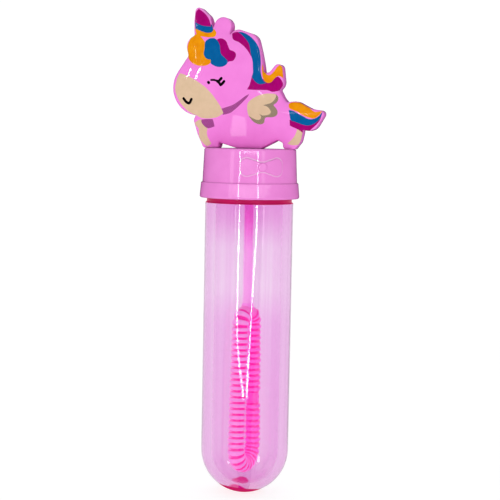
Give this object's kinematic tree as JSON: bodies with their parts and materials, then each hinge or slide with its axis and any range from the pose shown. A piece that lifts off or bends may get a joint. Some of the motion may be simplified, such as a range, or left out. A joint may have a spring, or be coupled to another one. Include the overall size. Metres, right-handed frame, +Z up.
{
  "type": "bubble wand",
  "caption": "Clear round-bottomed bubble tube with a push-on cap, a ribbed wand hanging from the cap inside it and a puffy winged-unicorn figure on top.",
  "frame": {"origin": "lowest point of the tube's round bottom, on the tube's axis", "axes": "+Z up along the tube's axis towards the cap and figure, +X to the right across the figure, -Y out of the figure's printed front"},
  "size_m": [0.0489, 0.0316, 0.154],
  "materials": {
    "tube": "clear tinted, polished",
    "cap": "glossy",
    "liner": "soft foam",
    "wand": "glossy",
    "topper": "glossy, printed on the front"
  },
  "bodies": {
    "tube": {"tube": "tube"},
    "seal": {"cap_liner": "liner"},
    "cap": {"cap": "cap", "wand": "wand", "topper_front": "topper", "topper_back": "topper"}
  },
  "joints": [
    {"name": "wand_draw", "type": "slide", "parent": "tube", "child": "seal", "axis": [0, 0, 1], "range_m": [0, 0.105]},
    {"name": "cap_turn", "type": "hinge", "parent": "seal", "child": "cap", "pos_m": [0, 0, 0.1], "axis": [0, 0, 1], "continuous": true}
  ]
}
